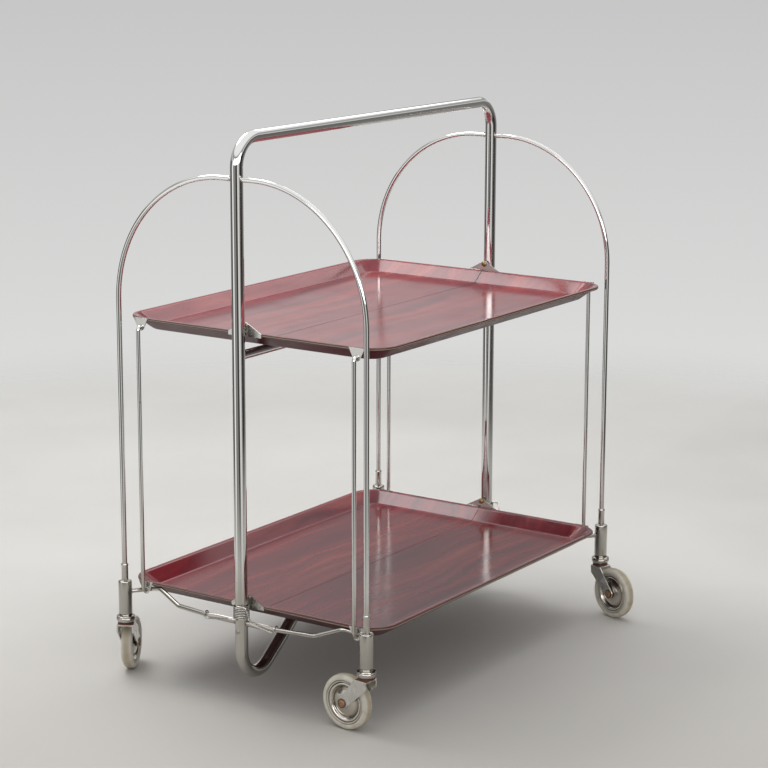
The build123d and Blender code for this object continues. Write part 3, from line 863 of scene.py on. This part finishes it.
# All but the outer crest of each turn is darkened: grime and painted shade.
crest = add_node(tree, "ShaderNodeMapRange", {
    "Value": from_axis.outputs["Value"],
    "From Min": coil_radius + 0.15 * wire_diameter / 2,
    "From Max": coil_radius + 0.7 * wire_diameter / 2,
})
grime_and_shade = add_node(tree, "ShaderNodeMix", {
    "Factor": crest.outputs["Result"], "A": srgb("#2b241f"), "B": grey,
}, data_type="RGBA")
surface = add_node(tree, "ShaderNodeBsdfPrincipled", {
    "Base Color": grime_and_shade.outputs["Result"], "Metallic": 1.0, "Roughness": sheen,
})
add_node(tree, "ShaderNodeOutputMaterial", {"Surface": surface.outputs["BSDF"]})

# The tree that winds the coil: a spiral of a given pitch, with the wire drawn along it.
coil_tree, coil_inputs = start_tree("wound_coil", {
    "Foot": "NodeSocketGeometry",
    "Turns": "NodeSocketFloat",
    "Coil Radius": "NodeSocketFloat",
    "Coil Height": "NodeSocketFloat",
    "Wire Diameter": "NodeSocketFloat",
    "Left Handed": "NodeSocketBool",
    "Place": "NodeSocketVector",
    "Turned By": "NodeSocketVector",
    "Finish": "NodeSocketMaterial",
}, "Coil")
spiral = add_node(coil_tree, "GeometryNodeCurveSpiral", {
    "Resolution": turn_steps, "Rotations": coil_inputs["Turns"],
    "Start Radius": coil_inputs["Coil Radius"], "End Radius": coil_inputs["Coil Radius"],
    "Height": coil_inputs["Coil Height"], "Reverse": coil_inputs["Left Handed"],
})
half = add_node(coil_tree, "ShaderNodeMath", {
    0: coil_inputs["Wire Diameter"], 1: 0.5,
}, operation="MULTIPLY")
section = add_node(coil_tree, "GeometryNodeCurvePrimitiveCircle", {
    "Resolution": wire_sides, "Radius": half.outputs[0],
})
wound = add_node(coil_tree, "GeometryNodeCurveToMesh", {
    "Curve": spiral.outputs["Curve"], "Profile Curve": section.outputs["Curve"], "Fill Caps": True,
})
stood = add_node(coil_tree, "GeometryNodeTransform", {
    "Geometry": wound.outputs["Mesh"], "Translation": coil_inputs["Place"],
    "Rotation": coil_inputs["Turned By"],
})
end_tree(coil_tree, stood.outputs["Geometry"], coil_inputs["Finish"], "Coil")

coil_height = coil_turns * coil_pitch
wire_run = 1.4 * coil_radius
wire_dip = 1.6 * wire_run
for side_name, side in sides.items():
    empty = bpy.data.meshes.new(side_name + "_coil_foot")
    coil = grow(f"{side_name}_coil", coil_tree, empty, {
        "Turns": float(coil_turns), "Coil Radius": coil_radius, "Coil Height": coil_height,
        "Wire Diameter": wire_diameter, "Left Handed": side > 0,
        "Place": (side * half_span, 0.0, coil_foot),
        "Turned By": (0.0, 0.0, math.pi if side < 0 else 0.0), "Finish": spring_wire,
    })
    fit(coil, "frame", "spring_wire", f"spring_{side_name}")
    for face, facing in faces.items():
        hook = back_hook if facing > 0 else front_hook
        inset = (hook - arm_turn) * arm_knee_inset / (arm_knee - arm_turn)
        under, over = arm_height - arm_diameter / 2, arm_height + hook_stand_off
        start_height = coil_foot if facing > 0 else coil_foot + coil_height
        drift = coil_pitch / (2 * math.pi * coil_radius) * wire_run
        at = partial(gate_point, side, facing)
        wire_way = [
            at(0, -coil_radius, start_height),
            at(wire_run, -coil_radius, start_height - facing * drift),
        ]
        wire_bends = [0, wire_bend]
        if facing < 0:
            halfway = (coil_foot + arm_height) / 2
            wire_way.append(at(wire_dip, -(coil_radius + hook_stand_off) / 2, halfway))
            wire_bends.append(wire_bend)
        wire_way += [
            at(hook - hook_lead, inset - hook_stand_off, under),
            at(hook, inset - hook_stand_off, under), at(hook, inset - hook_stand_off, over),
            at(hook, inset + hook_stand_off, over), at(hook, inset + hook_stand_off, under),
        ]
        wire_bends += [wire_bend, wire_bend, wire_bend, wire_bend, 0]
        wire = rod(
            f"{side_name}_{face}_spring_end", wire_way, wire_bends, wire_diameter, spring_wire,
            sides=wire_sides, bend_steps=8,
        )
        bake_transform(wire)

# Casters. A fork bent from thick sheet swivels under each leg and holds a wheel of two dished
# steel discs, chromed, rolled over a ring of pale hard rubber, on a riveted axle.
fork_bevel = 0.7 * mm
axle_diameter = 6 * mm
axle_head_diameter = 10 * mm
axle_head = 2.2 * mm
axle_washer_diameter = 13 * mm
axle_washer = 0.6 * mm
cheek_outside = 11.5 * mm
wheel_steps = 96

# Half sections of the tyre and the discs, as (radius, distance from the middle) in millimetres.
tyre_profile = [
    (37.0, 0), (36.9, 2.4), (36.4, 4.6), (35.4, 6.4), (33.8, 7.6), (32.0, 8.0), (30.8, 7.9),
    (30.1, 7.6), (29.7, 5.9), (29.1, 5.5), (28.5, 5.9), (28.1, 7.1), (27.3, 6.9), (26.7, 6.0),
    (26.4, 4.6), (26.3, 0),
]
disc_profile = [
    (3.1, 8.4), (5.6, 8.4), (6.4, 8.0), (7.2, 7.75), (9.5, 7.5), (12.0, 7.0), (14.5, 6.2),
    (17.0, 5.0), (18.8, 3.9), (19.8, 3.25), (20.6, 3.0), (21.3, 3.3), (21.9, 4.0), (22.5, 5.2),
    (23.1, 5.9), (23.9, 6.3), (24.9, 6.35), (25.8, 6.0), (26.4, 5.2), (26.5, 4.2),
]

# Ivory rubber: pale, satin, greyed and browned by floors where it runs. Darker rings of grime and
# painted shade lie in its groove and where it meets the discs. All rings are set by their radii in
# millimetres.
tyre_inside, tyre_groove, tyre_outside = 26.4, 29.1, 37.0
rubber_grain = 1.2 * mm
ivory, tree, place, _, worn, sheen = mottled(
    "ivory_rubber", 9 * mm, 6.0, ((0.28, "#c2baaa"), (0.46, "#d5cfc1"), (0.7, "#dcd7cb")),
    (0.58, 0.42),
)
reach = add_node(tree, "ShaderNodeAttribute", attribute_name="reach").outputs["Fac"]
across_tyre = add_node(tree, "ShaderNodeMapRange", {
    "Value": reach, "From Min": tyre_inside * mm, "From Max": tyre_outside * mm,
})
# The dark rings in the groove and at the discs are grime and painted shade; the tread ring is dirt.
dirt_and_shade = add_node(tree, "ShaderNodeValToRGB", {"Fac": across_tyre.outputs["Result"]}, stops=[
    ((radius - tyre_inside) / (tyre_outside - tyre_inside), code) for radius, code in (
        (tyre_inside, "#7a7063"), (27.3, "#ffffff"), (tyre_groove - 0.8, "#ffffff"),
        (tyre_groove, "#8c8170"), (tyre_groove + 0.8, "#ffffff"), (36.0, "#ffffff"),
        (tyre_outside, "#d6cdbd"),
    )
])
soil_and_shade = add_node(tree, "ShaderNodeMix", {
    "Factor": 1.0, "A": worn, "B": dirt_and_shade.outputs["Color"],
}, data_type="RGBA", blend_type="MULTIPLY")
scuffs = add_node(tree, "ShaderNodeTexNoise", {
    "Vector": place, "Scale": 1 / rubber_grain, "Detail": 3.0,
})
scuffed = add_node(tree, "ShaderNodeBump", {
    "Height": scuffs.outputs["Fac"], "Strength": 0.25, "Distance": 0.15 * mm,
})
surface = add_node(tree, "ShaderNodeBsdfPrincipled", {
    "Base Color": soil_and_shade.outputs["Result"],
    "Roughness": sheen,
    "Normal": scuffed.outputs["Normal"],
})
add_node(tree, "ShaderNodeOutputMaterial", {"Surface": surface.outputs["BSDF"]})

# Chrome of the wheel discs: thin and dull. Its colour is set ring by ring, by radius in
# millimetres:
# dirt and painted shade in the pressed grooves, at the boss and at the rim, lighter rings of
# painted highlight on the rises between, and a warm grey-brown throughout that is a painted
# reflection of the floor.
disc_inside, disc_boss, disc_groove, disc_rim = 3.1, 7.2, 20.6, 26.5
film_size = 5 * mm
disc_chrome_painted, tree, place = start_material("disc_chrome_dirt_and_painted_light")
film = add_node(tree, "ShaderNodeTexNoise", {
    "Vector": place, "Scale": 1 / film_size, "Detail": 5.0,
})
reach = add_node(tree, "ShaderNodeAttribute", attribute_name="reach").outputs["Fac"]
across_disc = add_node(tree, "ShaderNodeMapRange", {
    "Value": reach, "From Min": disc_inside * mm, "From Max": disc_rim * mm,
})
# Dark rings are dirt and painted shade, light rings painted highlight, and the warm grey-brown a
# painted reflection.
painted_disc_rings = add_node(tree, "ShaderNodeValToRGB", {"Fac": across_disc.outputs["Result"]}, stops=[
    ((radius - disc_inside) / (disc_rim - disc_inside), code) for radius, code in (
        (disc_inside, "#8c7d6c"), (disc_boss - 1.0, "#9c8f80"), (disc_boss, "#6b5f53"),
        (disc_boss + 1.2, "#beb7ad"), (16.0, "#cbc5bb"), (disc_groove - 1.2, "#a1988c"),
        (disc_groove, "#62594e"), (disc_groove + 1.2, "#c6c0b7"), (24.9, "#dfdcd6"),
        (disc_rim - 0.8, "#aea79b"), (disc_rim, "#5a5148"),
    )
])
filmed = add_node(tree, "ShaderNodeMapRange", {
    "Value": film.outputs["Fac"], "From Min": 0.3, "From Max": 0.7, "To Min": 0.12, "To Max": 0.26,
})
surface = add_node(tree, "ShaderNodeBsdfPrincipled", {
    "Base Color": painted_disc_rings.outputs["Color"], "Metallic": 1.0, "Roughness": filmed.outputs["Result"],
})
add_node(tree, "ShaderNodeOutputMaterial", {"Surface": surface.outputs["BSDF"]})

# Bare steel of the axle's hammered heads and washers, gone brown and pitted, with painted shade
# that darkens each of them towards its outer edge.
rusted, tree, _, rust_grain, browned, sheen = mottled(
    "rusted_axle_steel", 1.6 * mm, 6.0, ((0.3, "#7d563c"), (0.7, "#b8977a")), (0.6, 0.36)
)
reach = add_node(tree, "ShaderNodeAttribute", attribute_name="reach").outputs["Fac"]
# Painted shade: the colour is halved beyond the edge of the head.
washer_shade = add_node(tree, "ShaderNodeMapRange", {
    "Value": reach, "From Min": 0.44 * axle_head_diameter, "From Max": axle_head_diameter / 2,
    "To Min": 1.0, "To Max": 0.5,
})
shaded_head = add_node(tree, "ShaderNodeMix", {
    "Factor": 1.0, "A": browned, "B": washer_shade.outputs["Result"],
}, data_type="RGBA", blend_type="MULTIPLY")
pitted = add_node(tree, "ShaderNodeBump", {
    "Height": rust_grain, "Strength": 0.5, "Distance": 0.3 * mm,
})
surface = add_node(tree, "ShaderNodeBsdfPrincipled", {
    "Base Color": shaded_head.outputs["Result"],
    "Metallic": 0.7,
    "Roughness": sheen,
    "Normal": pitted.outputs["Normal"],
})
add_node(tree, "ShaderNodeOutputMaterial", {"Surface": surface.outputs["BSDF"]})

joints = {joint["name"]: joint for joint in frame["joints"]}
for side_name in sides:
    for face in faces:
        caster = f"{side_name}_{face}"
        centre = joints[f"{caster}_roll"]["pos_m"]
        axle_line = Vector(joints[f"{caster}_roll"]["axis"])
        fork = eased(f"{caster}_bent_fork", f"{caster}_fork", plated, fork_bevel)
        fit(fork, f"{caster}_caster", "plated_sheet", f"{caster}_fork")
        ends = [(axle_washer_diameter / 2, 0), (axle_washer_diameter / 2, axle_washer)]
        ends += [
            (r, axle_washer + h) for r, h in dome(axle_head_diameter / 2, axle_head - axle_washer)
        ]
        low_end = [(radius, -cheek_outside - height) for radius, height in reversed(ends)]
        high_end = [(radius, cheek_outside + height) for radius, height in ends]
        shank = [(axle_diameter / 2, -cheek_outside), (axle_diameter / 2, cheek_outside)]
        pin = low_end + shank + high_end
        axle = turned_piece(f"{caster}_axle_pin", pin, centre, axle_line, rusted)
        fit(axle, f"{caster}_caster", "axle_steel", f"{caster}_axle")
        disc = disc_profile + [(radius, -along) for radius, along in reversed(disc_profile)]
        hub = turned_piece(
            f"{caster}_discs", scaled(disc), centre, axle_line, disc_chrome_painted,
            closed=True, steps=wheel_steps,
        )
        fit(hub, f"{caster}_wheel", "chrome", f"{caster}_hub")
        tread = tyre_profile + [(radius, -along) for radius, along in tyre_profile[-2:0:-1]]
        tyre = turned_piece(
            f"{caster}_rubber", scaled(tread), centre, axle_line, ivory,
            closed=True, steps=wheel_steps,
        )
        fit(tyre, f"{caster}_wheel", "tyre", f"{caster}_tyre")

# Floor. A plain pale studio floor, greyer towards the front by a painted shade where the light
# falls off. Its rim fades into the paper behind the trolley.
floor_radius = 2.3
floor_fade = 0.9
floor_steps = 96
falloff_bearing = math.radians(34)
falloff_start = 0.5
falloff_full = -0.9
mottle_size = 450 * mm
pale, tree, place = start_material("pale_studio_floor")
mottle = add_node(tree, "ShaderNodeTexNoise", {
    "Vector": place, "Scale": 1 / mottle_size, "Detail": 6.0,
})
concrete = add_node(tree, "ShaderNodeValToRGB", {"Fac": mottle.outputs["Fac"]}, stops=(
    (0.35, "#cbc9c5"), (0.65, "#d2d0cc"),
))
# Painted shade: the floor's colour greys towards the front, as the light falls off.
turned_floor = add_node(tree, "ShaderNodeVectorRotate", {
    "Vector": place, "Angle": -falloff_bearing,
}, rotation_type="Z_AXIS")
depth = add_node(tree, "ShaderNodeSeparateXYZ", {"Vector": turned_floor.outputs["Vector"]})
painted_falloff = add_node(tree, "ShaderNodeMapRange", {
    "Value": depth.outputs["X"], "From Min": falloff_start, "From Max": falloff_full,
}, interpolation_type="SMOOTHSTEP")
shaded = add_node(tree, "ShaderNodeMix", {
    "Factor": painted_falloff.outputs["Result"], "A": concrete.outputs["Color"], "B": srgb("#bfbcb6"),
}, data_type="RGBA")
matt = add_node(tree, "ShaderNodeBsdfPrincipled", {
    "Base Color": shaded.outputs["Result"], "Roughness": 0.75,
})
distance = add_node(tree, "ShaderNodeVectorMath", {0: place}, operation="LENGTH")
fade = add_node(tree, "ShaderNodeMapRange", {
    "Value": distance.outputs["Value"], "From Min": floor_radius - floor_fade,
    "From Max": floor_radius,
}, interpolation_type="SMOOTHSTEP")
clear = add_node(tree, "ShaderNodeBsdfTransparent")
mixed = add_node(tree, "ShaderNodeMixShader", {
    0: fade.outputs["Result"], 1: matt.outputs["BSDF"], 2: clear.outputs["BSDF"],
})
add_node(tree, "ShaderNodeOutputMaterial", {"Surface": mixed.outputs["Shader"]})
shape = bmesh.new()
bmesh.ops.create_circle(shape, cap_ends=True, segments=floor_steps, radius=floor_radius)
floor = bpy.data.objects.new("floor", to_mesh("floor", shape, pale))
bpy.context.scene.collection.objects.link(floor)

# Cards. White, grey and black studio cards stand and lie round the set, open only towards the
# paper. No view shows them: they are there for the chrome to mirror, as its dark and light lines.
card_distance = 3.3
card_height = 1.25
card_start = 0.5
card_full = 1.5
card_centre = -0.2
card_level = 0.002
open_from = math.radians(8)
open_to = math.radians(60)
card_steps = 96
cards, tree, place = start_material("studio_cards")
centred = add_node(tree, "ShaderNodeMapping", {
    "Vector": place, "Location": (-card_centre, 0.0, 0.0),
})
around = add_node(tree, "ShaderNodeTexGradient", {
    "Vector": centred.outputs["Vector"],
}, gradient_type="RADIAL")
stripes = add_node(tree, "ShaderNodeValToRGB", {"Fac": around.outputs["Fac"]}, stops=(
    (0.0, "#93918f"), (0.035, "#84827f"), (0.06, "#474543"), (0.115, "#1f1e1e"), (0.135, "#e8e7e6"),
    (0.165, "#dddcdb"), (0.205, "#d0cfcd"), (0.235, "#5d5b59"), (0.3, "#262424"), (0.33, "#333130"),
    (0.38, "#5f5d5b"), (0.46, "#8a8885"), (0.53, "#b9b8b6"), (0.66, "#b9b8b6"), (0.7, "#807e7c"),
    (0.78, "#6b6967"), (0.855, "#434140"), (0.88, "#f6f6f5"), (0.925, "#fbfbfa"), (0.95, "#807e7b"),
))
lit_card = add_node(tree, "ShaderNodeEmission", {
    "Color": stripes.outputs["Color"], "Strength": 1.05,
})
distance = add_node(tree, "ShaderNodeVectorMath", {0: place}, operation="LENGTH")
begun = add_node(tree, "ShaderNodeMapRange", {
    "Value": distance.outputs["Value"], "From Min": card_start, "From Max": card_full,
}, interpolation_type="SMOOTHSTEP")
clear = add_node(tree, "ShaderNodeBsdfTransparent")
mixed = add_node(tree, "ShaderNodeMixShader", {
    0: begun.outputs["Result"], 1: clear.outputs["BSDF"], 2: lit_card.outputs["Emission"],
})
add_node(tree, "ShaderNodeOutputMaterial", {"Surface": mixed.outputs["Shader"]})


def stand_card(name, section, start, end, finish):
    """Bends a card round the set, between two bearings, for chrome and gloss alone to see."""
    shape = bmesh.new()
    columns = []
    for step in range(card_steps + 1):
        turn = start + (end - start) * step / card_steps
        columns.append([
            shape.verts.new((r * math.cos(turn), r * math.sin(turn), z)) for r, z in section
        ])
    for one, two in zip(columns, columns[1:]):
        for n in range(len(section) - 1):
            shape.faces.new((one[n], two[n], two[n + 1], one[n + 1]))
    card = bpy.data.objects.new(name, to_mesh(name, shape, finish))
    card.visible_camera = False
    card.visible_diffuse = False
    card.visible_shadow = False
    bpy.context.scene.collection.objects.link(card)


card_section = ((card_start, card_level), (card_distance, card_level), (card_distance, card_height))
stand_card("cards", card_section, open_to, 2 * math.pi + open_from, cards)

# Two long softboxes above the cards. The trays show the one in front in the mirrored uprights, as
# white streaks, and the slope of the upper tray's back shows the one at the far side.
softbox_distance = 3.2
softboxes = (
    dict(name="front_softbox", strength=3.6, low=0.95, high=1.9, start=-196, end=-96),
    dict(name="far_softbox", strength=2.3, low=2.6, high=3.6, start=-2, end=30),
)
for softbox in softboxes:
    name = softbox["name"]
    cloth, tree, _ = start_material(f"{name}_cloth")
    lit_cloth = add_node(tree, "ShaderNodeEmission", {
        "Color": srgb("#ffffff"), "Strength": softbox["strength"],
    })
    add_node(tree, "ShaderNodeOutputMaterial", {"Surface": lit_cloth.outputs["Emission"]})
    section = ((softbox_distance, softbox["low"]), (softbox_distance, softbox["high"]))
    stand_card(name, section, math.radians(softbox["start"]), math.radians(softbox["end"]), cloth)

# Light. The room gives a plain even fill, and eye, chrome and gloss see the pale paper behind the
# trolley. A softbox high behind it, which the rims mirror, and a wide lamp overhead do the rest.
world = bpy.data.worlds.new("studio")
bpy.context.scene.world = world
world.use_nodes = True
tree = world.node_tree
tree.nodes.clear()
direction = add_node(tree, "ShaderNodeTexCoord").outputs["Generated"]
height = add_node(tree, "ShaderNodeSeparateXYZ", {"Vector": direction}).outputs["Z"]
paper_low = -0.25
paper_high = 0.75
sweep = add_node(tree, "ShaderNodeMapRange", {
    "Value": height, "From Min": paper_low, "From Max": paper_high,
})
paper = add_node(tree, "ShaderNodeValToRGB", {"Fac": sweep.outputs["Result"]}, stops=(
    (0.03, "#dddddc"), (0.2, "#c6c6c6"), (0.27, "#f4f4f4"), (0.42, "#e2e2e2"), (0.52, "#bebebe"),
    (0.65, "#9e9e9e"), (0.7, "#a6a6a6"), (0.78, "#fafafa"), (1.0, "#ffffff"),
))
backdrop = add_node(tree, "ShaderNodeBackground", {
    "Color": paper.outputs["Color"], "Strength": 1.0,
})
fill = add_node(tree, "ShaderNodeBackground", {"Color": srgb("#c8c8c8"), "Strength": 1.0})
ray = add_node(tree, "ShaderNodeLightPath").outputs
mirrored = add_node(tree, "ShaderNodeMath", {
    0: ray["Is Glossy Ray"], 1: ray["Is Transmission Ray"],
}, operation="MAXIMUM")
seen = add_node(tree, "ShaderNodeMath", {
    0: ray["Is Camera Ray"], 1: mirrored.outputs[0],
}, operation="MAXIMUM")
chosen = add_node(tree, "ShaderNodeMixShader", {
    0: seen.outputs[0], 1: fill.outputs["Background"], 2: backdrop.outputs["Background"],
})
add_node(tree, "ShaderNodeOutputWorld", {"Surface": chosen.outputs["Shader"]})


def soft_lamp(name, place, aim, width, depth, power, mirrored):
    """A soft oblong lamp that looks at a point, and is seen in shiny faces or not."""
    data = bpy.data.lights.new(name, "AREA")
    data.shape = "RECTANGLE"
    data.size = width
    data.size_y = depth
    data.energy = power
    lamp = bpy.data.objects.new(name, data)
    lamp.location = place
    lamp.rotation_euler = (Vector(aim) - Vector(place)).to_track_quat("-Z", "Y").to_euler()
    lamp.visible_glossy = mirrored
    bpy.context.scene.collection.objects.link(lamp)


soft_lamp(
    "softbox", place=(0.1, 1.4, 2.5), aim=(0.05, 0, 0.4), width=1.5, depth=1.1, power=26,
    mirrored=True,
)
soft_lamp(
    "overhead", place=(0.1, 0.1, 2.7), aim=(0.05, 0, 0.3), width=2.6, depth=2.2, power=28,
    mirrored=False,
)

# Camera. It stands where the photograph was taken from, with a long lens and no shift. Its place
# and angles come from a fit of the trolley's own points.
image_width = 768
camera_place = Vector((-2.6351, -1.8036, 1.0826))
camera_yaw = math.radians(34.12)
camera_pitch = math.radians(12.43)
camera_roll = math.radians(-0.144)
focal_pixels = 2331.8
look = Vector((
    math.cos(camera_yaw) * math.cos(camera_pitch), math.sin(camera_yaw) * math.cos(camera_pitch),
    -math.sin(camera_pitch),
))
level = Vector((math.sin(camera_yaw), -math.cos(camera_yaw), 0))
across = level * math.cos(camera_roll) + look.cross(level) * math.sin(camera_roll)
camera = bpy.data.objects.new("camera", bpy.data.cameras.new("camera"))
camera.data.lens = focal_pixels / image_width * camera.data.sensor_width
camera.matrix_world = Matrix.Translation(camera_place) @ Matrix(
    (across, across.cross(look), -look)
).transposed().to_4x4()
bpy.context.scene.collection.objects.link(camera)
bpy.context.scene.camera = camera
bpy.context.scene.view_settings.view_transform = "Standard"
